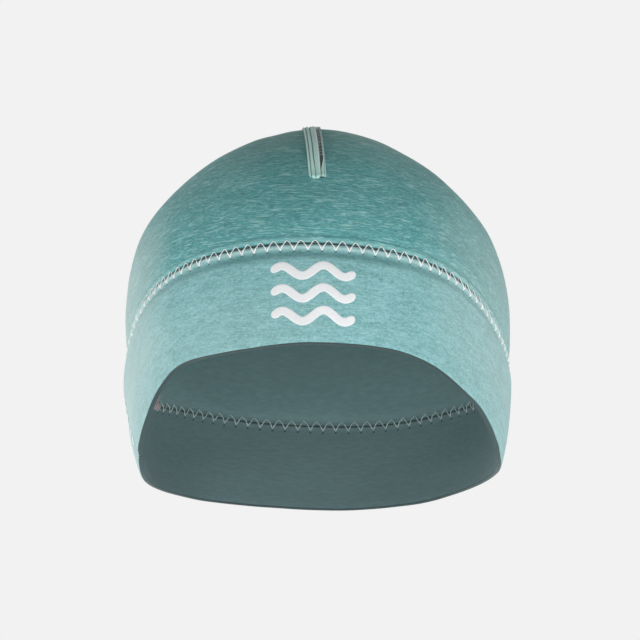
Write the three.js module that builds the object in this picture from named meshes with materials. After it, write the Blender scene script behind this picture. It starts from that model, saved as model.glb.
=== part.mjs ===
import * as THREE from "three";

// A neoprene beanie in the form it takes on a head: a domed crown, a band sewn to it edge to edge, and a ribbed
// tape over the crown's middle seam. Millimetres and degrees, +Z up, the front faces -Y, and the origin is the
// middle of the head opening.

// Driving dimensions
const HALF_BREADTH = 81; // outside, at the seam between crown and band
const LENGTH = 204; // front to back, outside, at the same seam
const WIDEST_BEHIND_MIDDLE = 9.4;
const CROWN_HEIGHT = 93.5; // from the seam's front to the crown's top
const CROWN_LEAN = 6.5; // how far the top lies behind the middle of the widest line
const RIM_DIP = 12; // how far the rim hangs lower over the ears than in front
const RIM_DIP_POWER = 4;
const SHOULDER = 2.6; // how far the crown's sides stand out low down, and are drawn in higher up
const CLOTH = 2.5; // foam with a jersey face on both sides
const GAP = 0.3; // between sewn edges
const WORN_TILT = 20; // the front of the band sits this much higher than its back

// The sewn edges are drawn in by the stitches, and the cloth rises from them within a few millimetres.
const SEAM_PINCH = { band: 2.1, crown: 0.8, reach: 5 };

// The rounded outline seen from above has a power of 2 for an ellipse and more for a squarer one. The profile has
// the same from the side. A row for each quarter of the way round.
const QUARTERS = {
  front: { profile: 1.85, bandHeight: 42.2, tuck: 5.2 },
  side: { profile: 2.44, bandHeight: 38.5, tuck: 5.7 },
  back: { profile: 3.15, bandHeight: 38.2, tuck: 4.2 },
};
const PLAN_POWER = { front: 1.96, back: 2.4 };

// Where the seam leaves the level of its front: degrees from the front, how wide and how square, and how high.
const SEAM_SWAYS = [
  { at: -99, width: 30.5, power: 2.7, height: -11.5 },
  { at: 93, width: 38.5, power: 3.4, height: -8.6 },
  { at: -33, width: 22, power: 2, height: 2.7 },
  { at: 27, width: 14, power: 2, height: 1.1 },
  { at: -162, width: 24, power: 2, height: 1.6 },
];

// The rim is askew behind, and drawn up at both sides of the front.
const RIM = { lowPoint: 3.8, backDrop: 0.3, rightDrop: 5, leftRise: 2 };
const RIM_RISES = [
  { at: -37, width: 15, height: 4.6 },
  { at: 24, width: 14, height: 1.4 },
  { at: 46, width: 9, height: -1.3 },
];

const BAND_SEAM_AT = -84; // degrees from the front, on the wearer's right

// The tape lies over the crown from front to back, a little askew.
const TAPE = {
  width: 7.4,
  frontHeight: 33, // height of its front end above the seam
  backHeight: 48,
  frontX: 3.8,
  skewTo: -4, // where it lies at the crown's top
  base: 0.7, // thickness between its ribs
  rib: 0.6, // how far a rib stands above that
};
// Places across the tape, as shares of its width, with the height of each as a share of a rib.
const TAPE_SECTION = [
  { across: -0.5, rise: 0 },
  { across: -0.44, rise: 0.8 },
  { across: -0.34, rise: 0.2 },
  { across: -0.22, rise: 1 },
  { across: -0.1, rise: 0.2 },
  { across: 0.02, rise: 1 },
  { across: 0.14, rise: -0.6 },
  { across: 0.24, rise: -0.6 },
  { across: 0.36, rise: 0.9 },
  { across: 0.5, rise: 0 },
];

const MESH = { columns: 72, crownRows: 16, bandRows: 6, tapeStations: 30 };

const COLOURS = { jersey: 0x8fbdbb, tape: 0xa5cdc6 };

const radians = THREE.MathUtils.degToRad;

// A value given at the front, side and back, blended smoothly round the head.
function around(key, phi) {
  const { front, side, back } = QUARTERS;
  const c = Math.cos(phi);
  const turn = ((front[key] - back[key]) / 2) * c;
  return side[key] + turn + ((front[key] + back[key]) / 2 - side[key]) * c * c;
}

// Distance from the widest line's middle to the outside at the seam, phi from the front.
function planRadius(phi, inset) {
  const s = Math.abs(Math.sin(phi));
  const c = Math.cos(phi);
  const reach = LENGTH / 2 + (c > 0 ? WIDEST_BEHIND_MIDDLE : -WIDEST_BEHIND_MIDDLE);
  const power = c > 0 ? PLAN_POWER.front : PLAN_POWER.back;
  const sum = (s / (HALF_BREADTH - inset)) ** power + (Math.abs(c) / (reach - inset)) ** power;
  return sum ** (-1 / power);
}

// How many degrees an angle is away from another, the short way round, as a share of a width.
const turned = (phi, { at, width }) =>
  (THREE.MathUtils.euclideanModulo(THREE.MathUtils.radToDeg(phi) - at + 180, 360) - 180) / width;

function seamHeight(phi) {
  let height = 0;
  for (const sway of SEAM_SWAYS) height += sway.height * Math.exp(-(Math.abs(turned(phi, sway)) ** sway.power));
  return height;
}

const rimDip = (phi) => RIM_DIP * Math.abs(Math.sin(phi)) ** RIM_DIP_POWER;

// How much lower the rim hangs than an even band.
function rimDrop(phi) {
  const back = Math.max(-Math.cos(phi), 0);
  const left = Math.sin(phi);
  const side = left < 0 ? RIM.rightDrop : -RIM.leftRise;
  let drop = (RIM.lowPoint * left + RIM.backDrop) * back ** 8 + side * back * Math.abs(left) ** 3;
  for (const rise of RIM_RISES) drop -= rise.height * Math.exp(-(turned(phi, rise) ** 2));
  return drop;
}

// Height of the band from its seam down to a rim that doesn't follow the seam's sways.
const bandHeight = (phi) => around("bandHeight", phi) + seamHeight(phi) + rimDip(phi);

const swell = (height, distance) => height * (1 - Math.exp(-distance / SEAM_PINCH.reach));

function place(phi, radius, back, height) {
  return new THREE.Vector3(radius * Math.sin(phi), back - radius * Math.cos(phi), height);
}

// How far the crown's side stands out from its plain profile, at an angle of climb.
const shoulder = (phi, angle) => SHOULDER * Math.sin(phi) ** 2 * Math.sin(4 * angle);

// A point of the crown: climb runs from 0 at the seam to 1 at the top, inset is the depth into the cloth.
function crownPoint(phi, climb, inset) {
  const power = around("profile", phi);
  const angle = (climb * Math.PI) / 2;
  const out = Math.cos(angle) ** (2 / power);
  const up = Math.sin(angle) ** (2 / power);
  const reach = planRadius(phi, inset) + swell(SEAM_PINCH.crown, CROWN_HEIGHT * up);
  const radius = reach * out + shoulder(phi, angle);
  return place(phi, radius, CROWN_LEAN * up * up, crownLevel(phi, up, inset));
}

// How high a point of the crown lies. The seam's sways fade out quickly above it.
function crownLevel(phi, up, inset) {
  const low = 1 - up;
  const dip = rimDip(phi);
  return (GAP / 2 - dip) * low + (seamHeight(phi) + dip) * low ** 4 + (CROWN_HEIGHT - inset) * up;
}

// A point of the band: drop runs from 0 at the seam to 1 at the rim.
function bandPoint(phi, drop, inset) {
  const depth = bandHeight(phi) * drop + rimDrop(phi) * drop * drop;
  const radius =
    planRadius(phi, inset) + swell(SEAM_PINCH.band, depth) - around("tuck", phi) * drop * drop;
  return place(phi, radius, 0, seamHeight(phi) - GAP / 2 - depth);
}

// The crown's outside above a point of the plan, found by closing in on its height.
function crownAbove(x, y, lift) {
  let up = 1;
  let phi = 0;
  let angle = Math.PI / 2;
  for (let i = 0; i < 40; i++) {
    const back = y - CROWN_LEAN * up * up;
    phi = Math.atan2(x, -back);
    const reach = planRadius(phi, 0) + swell(SEAM_PINCH.crown, CROWN_HEIGHT * up);
    const out = THREE.MathUtils.clamp((Math.hypot(x, back) - shoulder(phi, angle)) / reach, 0, 1);
    const power = around("profile", phi);
    angle = Math.acos(out ** (power / 2));
    up = (up + Math.sin(angle) ** (2 / power)) / 2;
  }
  return new THREE.Vector3(x, y, crownLevel(phi, up, -lift));
}

// A closed body from rows of points that share their columns. Each grid is a list of rows of Vector3, and quads
// join neighbouring rows. wrap joins the last column to the first.
class Body {
  constructor() {
    this.positions = [];
    this.faces = [];
  }
  add(point) {
    this.positions.push(point.x, point.y, point.z);
    return this.positions.length / 3 - 1;
  }
  addRow(points) {
    return points.map((p) => this.add(p));
  }
  quad(a, b, c, d) {
    this.faces.push(a, b, c, a, c, d);
  }
  strip(lower, upper, wrap) {
    const last = wrap ? lower.length : lower.length - 1;
    for (let i = 0; i < last; i++) {
      const next = (i + 1) % lower.length;
      this.quad(lower[i], lower[next], upper[next], upper[i]);
    }
  }
  cap(row, tip, wrap) {
    const last = wrap ? row.length : row.length - 1;
    for (let i = 0; i < last; i++) this.faces.push(row[i], row[(i + 1) % row.length], tip);
  }
  geometry() {
    const geometry = new THREE.BufferGeometry();
    geometry.setAttribute("position", new THREE.Float32BufferAttribute(this.positions, 3));
    geometry.setIndex(this.faces);
    geometry.computeVertexNormals();
    return geometry;
  }
}

const evenly = (count, from, to) =>
  Array.from({ length: count }, (_, i) => from + ((to - from) * i) / (count - 1));

function crownGeometry() {
  const body = new Body();
  const phis = Array.from({ length: MESH.columns }, (_, i) => radians((360 * i) / MESH.columns));
  const climbs = evenly(MESH.crownRows + 1, 0, 1).slice(0, -1);
  const skin = (inset) => climbs.map((climb) => body.addRow(phis.map((phi) => crownPoint(phi, climb, inset))));
  const outer = skin(0);
  const inner = skin(CLOTH);
  const outerTip = body.add(crownPoint(0, 1, 0));
  const innerTip = body.add(crownPoint(0, 1, CLOTH));
  for (let i = 1; i < outer.length; i++) {
    body.strip(outer[i - 1], outer[i], true);
    body.strip(inner[i], inner[i - 1], true);
  }
  body.strip(inner[0], outer[0], true);
  body.cap(outer.at(-1), outerTip, true);
  body.cap([...inner.at(-1)].reverse(), innerTip, true);
  return body.geometry();
}

// The band is one strip whose ends meet at the side seam.
function bandGeometry() {
  const body = new Body();
  const half = THREE.MathUtils.radToDeg(GAP / 2 / HALF_BREADTH);
  const phis = evenly(MESH.columns + 1, BAND_SEAM_AT + half, BAND_SEAM_AT + 360 - half).map(radians);
  const drops = evenly(MESH.bandRows + 1, 0, 1);
  const skin = (inset) => drops.map((drop) => body.addRow(phis.map((phi) => bandPoint(phi, drop, inset))));
  const outer = skin(0);
  const inner = skin(CLOTH);
  for (let i = 1; i < drops.length; i++) {
    body.strip(outer[i], outer[i - 1], false);
    body.strip(inner[i - 1], inner[i], false);
    body.quad(outer[i][0], outer[i - 1][0], inner[i - 1][0], inner[i][0]);
    body.quad(outer[i - 1].at(-1), outer[i].at(-1), inner[i].at(-1), inner[i - 1].at(-1));
  }
  body.strip(outer[0], inner[0], false);
  body.strip(inner.at(-1), outer.at(-1), false);
  return body.geometry();
}

// How far along Y the crown's outside is down to a height above the seam, in front or behind.
function crownReach(height, side) {
  const phi = side < 0 ? 0 : Math.PI;
  let low = 0;
  let high = 1;
  for (let i = 0; i < 40; i++) {
    const middle = (low + high) / 2;
    if (crownPoint(phi, middle, 0).z < height) low = middle;
    else high = middle;
  }
  return crownPoint(phi, low, 0).y;
}

function tapeGeometry() {
  const body = new Body();
  const from = crownReach(TAPE.frontHeight, -1);
  const to = crownReach(TAPE.backHeight, 1);
  const middle = (from + to) / 2;
  // The stations crowd together at both ends, where the crown falls away steeply.
  const stations = evenly(MESH.tapeStations, -90, 90).map(
    (a) => middle + ((to - from) / 2) * Math.sin(radians(a)),
  );
  const centreX = (y) => {
    const share = THREE.MathUtils.clamp((y - from) / (CROWN_LEAN - from), 0, 1);
    return TAPE.frontX + (TAPE.skewTo - TAPE.frontX) * share ** 0.8;
  };
  const rows = stations.map((y) => {
    const normal = crownNormal(centreX(y), y);
    const under = TAPE_SECTION.map(({ across }) =>
      crownAbove(centreX(y) + across * TAPE.width, y, 0).addScaledVector(normal, GAP),
    );
    const top = TAPE_SECTION.map(({ rise }, i) =>
      under[i].clone().addScaledVector(normal, TAPE.base + TAPE.rib * rise),
    );
    return body.addRow([...top, ...under.reverse()]);
  });
  for (let i = 1; i < rows.length; i++) body.strip(rows[i - 1], rows[i], true);
  closeEnd(body, rows[0], true);
  closeEnd(body, rows.at(-1), false);
  return body.geometry();
}

// Outward normal of the crown above a point of the plan.
function crownNormal(x, y) {
  const step = 0.5;
  const here = crownAbove(x, y, 0);
  const right = crownAbove(x + step, y, 0).sub(here);
  const behind = crownAbove(x, y + step, 0).sub(here);
  return right.cross(behind).normalize();
}

// A flat end over a ring that holds a top row and then an under row the other way round.
function closeEnd(body, ring, front) {
  const half = ring.length / 2;
  for (let i = 1; i < half; i++) {
    const corners = [ring[i - 1], ring[i], ring[ring.length - 1 - i], ring[ring.length - i]];
    if (front) corners.reverse();
    body.quad(...corners);
  }
}

function piece(name, geometry, color, roughness) {
  const mesh = new THREE.Mesh(geometry, new THREE.MeshStandardMaterial({ color, roughness, metalness: 0 }));
  mesh.name = name;
  return mesh;
}

// The cap is worked out level, with the seam's front at height 0, then lifted to the opening and tipped back.
const level = new THREE.Group();
level.position.z = (QUARTERS.front.bandHeight + QUARTERS.back.bandHeight) / 2;
level.add(piece("crown", crownGeometry(), COLOURS.jersey, 0.85));
level.add(piece("band", bandGeometry(), COLOURS.jersey, 0.85));
level.add(piece("crown_tape", tapeGeometry(), COLOURS.tape, 0.7));

const beanie = new THREE.Group();
beanie.rotation.x = radians(-WORN_TILT);
beanie.add(level);

export default beanie;
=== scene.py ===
"""Looks for a neoprene beanie: a domed crown, a band sewn to it edge to edge, a ribbed tape over the
crown's middle seam, the threads of its seams and a plain print on the band's front.

Sizes in the formulas are millimetres. The shapes are worked out level, with the front of the seam
between crown and band at height 0. Each vertex is then tipped back into the frame's axes, in metres.
"""

import bisect
import math
from functools import lru_cache

import bmesh
import bpy
from bpy.props import FloatProperty, FloatVectorProperty, IntProperty, PointerProperty
from mathutils import Matrix, Vector, noise


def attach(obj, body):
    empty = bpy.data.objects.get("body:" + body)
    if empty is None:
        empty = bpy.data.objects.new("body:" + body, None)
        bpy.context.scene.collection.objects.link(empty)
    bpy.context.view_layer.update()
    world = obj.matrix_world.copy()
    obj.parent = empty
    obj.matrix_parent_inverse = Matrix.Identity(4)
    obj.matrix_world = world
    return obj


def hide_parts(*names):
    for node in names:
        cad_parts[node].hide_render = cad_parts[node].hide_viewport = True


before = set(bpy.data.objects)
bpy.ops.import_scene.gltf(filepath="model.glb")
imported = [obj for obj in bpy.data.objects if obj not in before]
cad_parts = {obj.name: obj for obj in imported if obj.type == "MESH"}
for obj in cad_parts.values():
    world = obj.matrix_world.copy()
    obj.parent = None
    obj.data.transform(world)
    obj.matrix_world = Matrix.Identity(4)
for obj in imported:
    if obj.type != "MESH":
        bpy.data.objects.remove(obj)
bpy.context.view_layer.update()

bl_info = {
    "name": "Neoprene beanie",
    "version": (1, 0, 0),
    "blender": (4, 5, 0),
    "location": "View3D > Sidebar > Beanie",
    "description": "Dresses the beanie's frame in heathered jersey, tape, print and stitches",
    "category": "Object",
}

BODY = "root"
MM = 0.001
IMAGE_SIZE = 640

# The cap's form, as its solids have it. Tuples give values at the front, the side and the back.
GAP = 0.3
WORN_TILT = 20.0
WIDEST_BEHIND_MIDDLE = 9.4
CROWN_LEAN = 6.5
RIM_DIP = 12.0
RIM_DIP_POWER = 4
SHOULDER = 2.6
BAND_PINCH = 2.1
CROWN_PINCH = 0.8
PINCH_REACH = 5.0
PROFILE = (1.85, 2.44, 3.15)
TUCK = (5.2, 5.7, 4.2)
TUCK_LESS_ON_LEFT = 0.5
PLAN_POWER_FRONT = 1.96
PLAN_POWER_BACK = 2.4
BAND_SEAM_AT = math.radians(-84.0)
# Where the seam leaves the level of its front: degrees from the front, how wide and how square, and how high.
SEAM_SWAYS = (
    {"at": -99.0, "width": 30.5, "power": 2.7, "height": -11.5},
    {"at": 93.0, "width": 38.5, "power": 3.4, "height": -8.6},
    {"at": -33.0, "width": 22.0, "power": 2.0, "height": 2.7},
    {"at": 27.0, "width": 14.0, "power": 2.0, "height": 1.1},
    {"at": -162.0, "width": 24.0, "power": 2.0, "height": 1.6},
)

# How the sewn edges roll: a bead along the edge, the needle's holes, and a furrow that the stitches pull in.
COLUMNS_PER_STITCH = 6
EDGE_ROUND = 1.0
INNER_ROUND = 0.6
CROWN_EDGE = {
    "bead": 0.4, "bead_at": 1.9, "bead_width": 1.1,
    "hole": 0.3, "hole_at": 1.3, "hole_phase": 0.5,
    "furrow": 0.15, "furrow_at": 4.6, "furrow_width": 1.8,
}
BAND_EDGE = {
    "bead": 0.45, "bead_at": 1.6, "bead_width": 1.0,
    "hole": 0.45, "hole_at": 3.0, "hole_phase": 0.0,
    "furrow": 0.6, "furrow_at": 4.2, "furrow_width": 1.7,
}
RIPPLE = 0.16
RIPPLE_FADE = 6.0
INSIDE_ROLL = 0.35


def linear(red, green, blue):
    """An sRGB colour, 0 to 255, as Blender's linear values."""
    values = []
    for channel in (red, green, blue):
        c = channel / 255
        values.append(c / 12.92 if c <= 0.04045 else ((c + 0.055) / 1.055) ** 2.4)
    return (*values, 1.0)


def length(name, description, millimetres):
    return FloatProperty(name=name, description=description, default=millimetres * MM, min=0.0, unit="LENGTH")


def colour(name, description, red, green, blue):
    default = linear(red, green, blue)
    return FloatVectorProperty(name=name, description=description, default=default, size=4, subtype="COLOR")


class BeanieSizes(bpy.types.PropertyGroup):
    """Sizes of the cap and its stitches."""

    left_breadth: length("Left breadth", "Middle to outside at the seam, on the wearer's left", 80.3)
    right_breadth: length("Right breadth", "Middle to outside at the seam, on the wearer's right", 79.2)
    long: length("Length", "Front to back at the seam", 204.0)
    crown_height: length("Crown height", "Seam to the top of the crown", 92.6)
    cloth: length("Cloth", "Thickness of the neoprene with its jersey faces", 2.5)
    band_front: length("Band at the front", "Height of the band at the forehead", 42.2)
    band_side: length("Band at the side", "Height of the band over the ear", 38.5)
    band_back: length("Band at the back", "Height of the band at the nape", 38.2)
    tape_width: length("Tape width", "Width of the tape over the crown's seam", 7.4)
    thread: length("Thread", "Thickness of the seam's thread", 0.36)
    stitches: IntProperty(name="Stitches", description="Zigzag stitches round the seam", default=104, min=12)


class BeanieColours(bpy.types.PropertyGroup):
    """Colours of the yarns, the tape, the threads and the print."""

    dark_yarn: colour("Dark yarn", "Darkest yarn of the jersey", 62, 118, 118)
    mid_yarn: colour("Middle yarn", "Most of the crown's jersey", 88, 158, 160)
    grey_yarn: colour("Grey yarn", "Greyer drifts of the crown's jersey", 100, 152, 148)
    # Painted shade: a darker yarn for the crown's top, as less light falls on it from above.
    shaded_top_yarn: colour("Top yarn", "Towards the top of the crown", 66, 145, 130)
    pale_yarn: colour("Pale yarn", "Most of the band's jersey", 136, 186, 191)
    light_yarn: colour("Light yarn", "Lightest dashes of the jersey", 176, 222, 219)
    # Painted highlight: a pale colour for sheen over the ears and for light on the band's bead.
    painted_highlight: colour("Stretched yarn", "The cloth stretched over the ears", 214, 230, 226)
    inside: colour("Inside", "Smooth face on the inside", 114, 141, 143)
    # The core's own dark colour, also used as painted shade at the rim, in the seam's groove and on the
    # lining.
    foam_and_shade: colour("Foam", "Neoprene core at cut edges", 46, 62, 64)
    tape: colour("Tape", "Ribs of the crown's tape", 208, 252, 242)
    white_thread: colour("White thread", "Thread on the outside", 250, 252, 252)
    grey_thread: colour("Grey thread", "Thread on the inside", 188, 204, 201)
    end_thread: colour("Thread end", "Tangle at the end of the seam, inside", 196, 178, 182)
    front_print: colour("Print", "Print on the band's front", 236, 238, 240)


def light_level(name, description, level):
    return FloatProperty(name=name, description=description, default=level, min=0.0)


class BeanieStudio(bpy.types.PropertyGroup):
    """Light of the studio."""

    backdrop: light_level("Backdrop", "Brightness of the pale surround", 0.888)
    overhead: light_level("Overhead", "Brightness straight above", 0.1)
    left_light: light_level("Left light", "Softbox at the picture's left", 3.1)
    right_light: light_level("Right light", "Softbox at the picture's right", 1.9)
    front_light: light_level("Front light", "Low softbox in front", 1.95)


def bell(distance, width):
    return math.exp(-((distance / width) ** 2))


def clamped(value):
    return min(max(value, 0.0), 1.0)


def turned_from(phi, degrees):
    """How many degrees an angle is away from another, the short way round."""
    return (math.degrees(phi) - degrees + 180.0) % 360.0 - 180.0


def around(values, phi):
    """A value given at the front, side and back, blended smoothly round the head."""
    front, side, back = values
    c = math.cos(phi)
    return side + (front - back) / 2 * c + ((front + back) / 2 - side) * c * c


@lru_cache(maxsize=None)
def seam_height(phi):
    """The seam dips over the ears, and rises a little in front of and behind the wearer's right ear."""
    height = 0.0
    for sway in SEAM_SWAYS:
        away = abs(turned_from(phi, sway["at"]) / sway["width"])
        height += sway["height"] * math.exp(-(away ** sway["power"]))
    return height


def rim_dip(phi):
    """How much lower the rim lies over the ears than in front, apart from where it is askew."""
    return RIM_DIP * abs(math.sin(phi)) ** RIM_DIP_POWER


def tuck(phi):
    """How far the rim leans in under the band's widest line."""
    return around(TUCK, phi) - TUCK_LESS_ON_LEFT * math.sin(phi)


def swell(height, distance):
    return height * (1 - math.exp(-distance / PINCH_REACH))


def slow_waves(point, size, height):
    """Soft unevenness of the cloth, from a place in millimetres."""
    return height * noise.noise(Vector(point) / size)


# Soft hollows of the dome, and a bulge with a depth under zero: place, reach along X, Y and Z, and depth.
HOLLOWS = (
    {"at": (-16.0, -36.0, 86.0), "reach": (5.0, 16.0, 30.0), "depth": 0.7},
    {"at": (-38.0, -34.0, 88.0), "reach": (15.0, 36.0, 13.0), "depth": 3.0},
    {"at": (-72.0, -10.0, 44.0), "reach": (22.0, 50.0, 18.0), "depth": -1.7},
    {"at": (40.0, -34.0, 84.0), "reach": (14.0, 34.0, 18.0), "depth": 0.6},
)


def crown_waves(point):
    x, y, z = point
    lift = slow_waves(point, 31.0, 0.9) + slow_waves((x + 70, y, z), 14.0, 0.25)
    for hollow in HOLLOWS:
        share = 1.0
        for here, middle, reach in zip(point, hollow["at"], hollow["reach"]):
            share *= bell(here - middle, reach)
        lift -= hollow["depth"] * share
    return lift


class Cap:
    """The cap's form in level millimetres, from the sizes that the panel shows."""

    def __init__(self, sizes):
        self.left_breadth = sizes.left_breadth / MM
        self.right_breadth = sizes.right_breadth / MM
        self.long = sizes.long / MM
        self.crown_height = sizes.crown_height / MM
        self.cloth = sizes.cloth / MM
        self.band_height = (sizes.band_front / MM, sizes.band_side / MM, sizes.band_back / MM)
        self.tape_width = sizes.tape_width / MM
        self.thread = sizes.thread / MM
        self.stitches = sizes.stitches
        self.level_rise = (self.band_height[0] + self.band_height[2]) / 2
        self.seam_lengths = self.measured_seam()
        self.seam_round = self.seam_lengths[-1]
        self.pitch = self.seam_round / self.stitches

    def tipped(self, point):
        """A level point in the frame's axes, in metres."""
        tilt = math.radians(WORN_TILT)
        x, y, z = point
        z += self.level_rise
        back = y * math.cos(tilt) + z * math.sin(tilt)
        up = z * math.cos(tilt) - y * math.sin(tilt)
        return Vector((x, back, up)) * MM

    def plan_radius(self, phi, inset):
        """Distance from the widest line's middle to the outside at the seam."""
        c = math.cos(phi)
        breadth = self.left_breadth if math.sin(phi) > 0 else self.right_breadth
        reach = self.long / 2 + (WIDEST_BEHIND_MIDDLE if c > 0 else -WIDEST_BEHIND_MIDDLE)
        power = PLAN_POWER_FRONT if c > 0 else PLAN_POWER_BACK
        total = (abs(math.sin(phi)) / (breadth - inset)) ** power + (abs(c) / (reach - inset)) ** power
        return total ** (-1 / power)

    def crown(self, phi, up, inset):
        """A point of the crown: up runs from 0 at the seam to 1 at the top."""
        power = around(PROFILE, phi)
        up = clamped(up)
        out = (1 - up**power) ** (1 / power)
        climb = math.asin(up ** (power / 2))
        reach = self.plan_radius(phi, inset) + swell(CROWN_PINCH, self.crown_height * up)
        radius = reach * out + SHOULDER * math.sin(phi) ** 2 * math.sin(4 * climb)
        back = CROWN_LEAN * up * up - radius * math.cos(phi)
        return radius * math.sin(phi), back, self.crown_level(phi, up, inset)

    def crown_level(self, phi, up, inset):
        """How high a point of the crown lies. The seam's sways fade out quickly above it."""
        low = 1 - up
        dip = rim_dip(phi)
        return (GAP / 2 - dip) * low + (seam_height(phi) + dip) * low**4 + (self.crown_height - inset) * up

    def band_height_at(self, phi):
        """Height of the band from its seam down to a rim that doesn't follow the seam's sways."""
        return around(self.band_height, phi) + seam_height(phi) + rim_dip(phi)

    def band(self, phi, depth, inset):
        """A point of the band: depth is the distance below the seam."""
        drop = depth / self.band_height_at(phi)
        radius = self.plan_radius(phi, inset) + swell(BAND_PINCH, depth) - tuck(phi) * drop * drop
        return radius * math.sin(phi), -radius * math.cos(phi), seam_height(phi) - GAP / 2 - depth

    def measured_seam(self, steps=2880):
        """Distance along the seam, from the front, at even angles round it."""
        points = []
        for i in range(steps + 1):
            phi = 2 * math.pi * i / steps
            radius = self.plan_radius(phi, 0)
            points.append(Vector((radius * math.sin(phi), -radius * math.cos(phi), seam_height(phi))))
        lengths = [0.0]
        for a, b in zip(points, points[1:]):
            lengths.append(lengths[-1] + (b - a).length)
        return lengths

    def angle_at(self, distance):
        """The angle at a distance along the seam from the front, towards the wearer's left."""
        turns, rest = divmod(distance, self.seam_round)
        steps = len(self.seam_lengths) - 1
        i = min(max(bisect.bisect_right(self.seam_lengths, rest) - 1, 0), steps - 1)
        low, high = self.seam_lengths[i], self.seam_lengths[i + 1]
        return 2 * math.pi * (turns + (i + (rest - low) / (high - low)) / steps)

    def distance_at(self, phi):
        """The distance along the seam at an angle: angle_at the other way round."""
        turns, rest = divmod(phi / (2 * math.pi), 1.0)
        steps = len(self.seam_lengths) - 1
        i = min(int(rest * steps), steps - 1)
        low, high = self.seam_lengths[i], self.seam_lengths[i + 1]
        return turns * self.seam_round + low + (high - low) * (rest * steps - i)

    def phase_at(self, distance):
        """0 where the zigzag has a lower point, 0.5 where it has an upper one."""
        return ((distance - FIRST_STITCH) / self.pitch) % 1.0

    def relief(self, edge, phase, distance):
        """How far a sewn edge's cloth stands out at a distance from the seam."""
        if distance > 30:
            return 0.0
        away = abs((phase - edge["hole_phase"] + 0.5) % 1.0 - 0.5)
        bead = edge["bead"] * bell(distance - edge["bead_at"], edge["bead_width"])
        furrow = edge["furrow"] * bell(distance - edge["furrow_at"], edge["furrow_width"])
        hole = edge["hole"] * bell(distance - edge["hole_at"], 0.9) * bell(away * self.pitch, 0.9)
        ripple = RIPPLE * math.cos(2 * math.pi * away) * math.exp(-distance / RIPPLE_FADE)
        return bead - furrow - hole - ripple

    def crown_skin(self, phi, phase, up, inset, lift=0.0):
        """A point of the crown's cloth with its waves and its rolled edge."""
        distance = up * self.crown_height
        outside = 1 - inset / self.cloth
        lift += crown_waves(self.crown(phi, up, inset)) * min(distance / 10, 1.0)
        lift += self.relief(CROWN_EDGE, phase, distance) * outside
        lift += INSIDE_ROLL * bell(distance - 2.0, 1.6) * (1 - outside)
        return self.crown(phi, up, inset - lift)

    def band_skin(self, phi, phase, depth, inset, from_end=99.0, lift=0.0):
        """A point of the band's cloth with its waves, its rolled edge and its rounded ends."""
        x, y, z = self.band(phi, depth, inset)
        outside = 1 - inset / self.cloth
        side = outside * 2 - 1
        low = depth / self.band_height_at(phi)
        lift += slow_waves((x, y + 90, z), 27.0, 0.7) * min(depth / 10, 1.0)
        lift += slow_waves((x, y, z + 50), 12.0, 0.22) * low
        lift += self.relief(BAND_EDGE, phase, depth) * outside
        lift += INSIDE_ROLL * bell(depth - 2.0, 1.6) * (1 - outside)
        end_turn = 1.0 - min(from_end / END_ROUND, 1.0)
        lift -= (1 - math.sqrt(max(1 - end_turn**2, 0.0))) * END_ROUND * side
        lift -= END_FURROW * bell(from_end - 2.2, 1.1) * side
        depth += (slow_waves((x, y, 300), 24.0, 0.45) + rim_drop(phi)) * low**2
        return self.band(phi, depth, inset - lift)


FIRST_STITCH = 0.1
END_ROUND = 1.1
END_FURROW = 0.35
RIM_LOW_POINT = 3.8
RIM_BACK_DROP = 0.3
RIM_RIGHT_DROP = 5.0
RIM_LEFT_RISE = 2.0
# Where the rim's front is drawn up, or hangs down: degrees from the front, width of the rise, and height.
RIM_RISES = (
    {"at": -37.0, "width": 15.0, "height": 4.6},
    {"at": 24.0, "width": 14.0, "height": 1.4},
    {"at": 46.0, "width": 9.0, "height": -1.3},
)


def rim_drop(phi):
    """How much lower the rim hangs than an even band: askew behind, drawn up at both sides in front."""
    back = max(-math.cos(phi), 0.0)
    left = math.sin(phi)
    side = RIM_RIGHT_DROP if left < 0 else -RIM_LEFT_RISE
    drop = (RIM_LOW_POINT * left + RIM_BACK_DROP) * back**8 + side * back * abs(left) ** 3
    for rise in RIM_RISES:
        drop -= rise["height"] * bell(turned_from(phi, rise["at"]), rise["width"])
    return drop


# Building a mesh row by row

def build(name, bm, material):
    mesh = bpy.data.meshes.new(name)
    bm.to_mesh(mesh)
    bm.free()
    mesh.shade_smooth()
    mesh.materials.append(material)
    obj = bpy.data.objects.new(name, mesh)
    bpy.context.scene.collection.objects.link(obj)
    return obj


def mark_layers(bm, *names):
    """A number for each point of a section, and the marks that the materials read."""
    return {
        "number": bm.verts.layers.int.new("number"),
        "values": [bm.verts.layers.float.new(name) for name in names],
    }


def put(verts, marks, placed):
    """Moves each vertex to where its number says, and marks it."""
    for v in verts:
        v.co, values = placed(v[marks["number"]])
        for layer, value in zip(marks["values"], values):
            v[layer] = value


def extrude_row(bm, edges, marks, placed):
    """Extrudes a row of edges once and places the new row. Returns its edges."""
    made = bmesh.ops.extrude_edge_only(bm, edges=edges)["geom"]
    verts = {g for g in made if isinstance(g, bmesh.types.BMVert)}
    put(verts, marks, placed)
    return [g for g in made if isinstance(g, bmesh.types.BMEdge) and verts.issuperset(g.verts)]


def sweep(bm, marks, count, stations, placed_at):
    """A closed section of some points carried through stations, with both ends filled."""
    verts = bmesh.ops.create_circle(bm, segments=count, radius=1.0)["verts"]
    verts.sort(key=lambda v: math.atan2(v.co.y, v.co.x))
    for i, v in enumerate(verts):
        v[marks["number"]] = i
    put(verts, marks, placed_at(stations[0]))
    edges = list({e for v in verts for e in v.link_edges})
    rings = [edges]
    for station in stations[1:]:
        edges = extrude_row(bm, edges, marks, placed_at(station))
    rings.append(edges)
    for ring in rings:
        faces = bmesh.ops.edgeloop_fill(bm, edges=ring)["faces"]
        bmesh.ops.triangulate(bm, faces=faces)


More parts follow.
